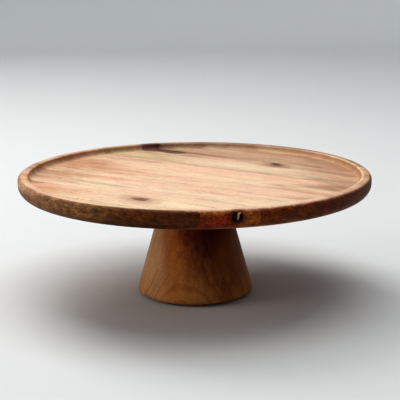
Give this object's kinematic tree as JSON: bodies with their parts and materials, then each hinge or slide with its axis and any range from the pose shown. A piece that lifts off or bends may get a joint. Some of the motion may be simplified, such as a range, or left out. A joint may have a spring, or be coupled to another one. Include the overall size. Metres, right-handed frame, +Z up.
{
  "type": "cake stand",
  "caption": "Low round wooden cake stand: board-glued plate with a raised lip, bolted to a solid conical pedestal on small rubber feet.",
  "frame": {"origin": "on the table, under the centre of the pedestal", "axes": "+Z up, along the axis the plate and the pedestal are turned about; +X along the grain of the plate's boards; the stand has no front"},
  "size_m": [0.32, 0.32, 0.114],
  "materials": {
    "board_1_wood": "satin",
    "board_2_wood": "satin",
    "board_3_wood": "satin",
    "board_4_wood": "satin",
    "board_5_wood": "satin",
    "board_6_wood": "satin",
    "pedestal_wood": "satin",
    "insert_brass": "machined",
    "zinc_steel": "zinc plated",
    "foot_rubber": "matt"
  },
  "bodies": {
    "root": {"board_1": "board_1_wood", "board_2": "board_2_wood", "board_3": "board_3_wood", "board_4": "board_4_wood", "board_5": "board_5_wood", "board_6": "board_6_wood", "pedestal": "pedestal_wood", "threaded_insert": "insert_brass", "clamp_bolt": "zinc_steel", "washer": "zinc_steel", "foot_1": "foot_rubber", "foot_2": "foot_rubber", "foot_3": "foot_rubber", "foot_4": "foot_rubber"}
  },
  "joints": []
}
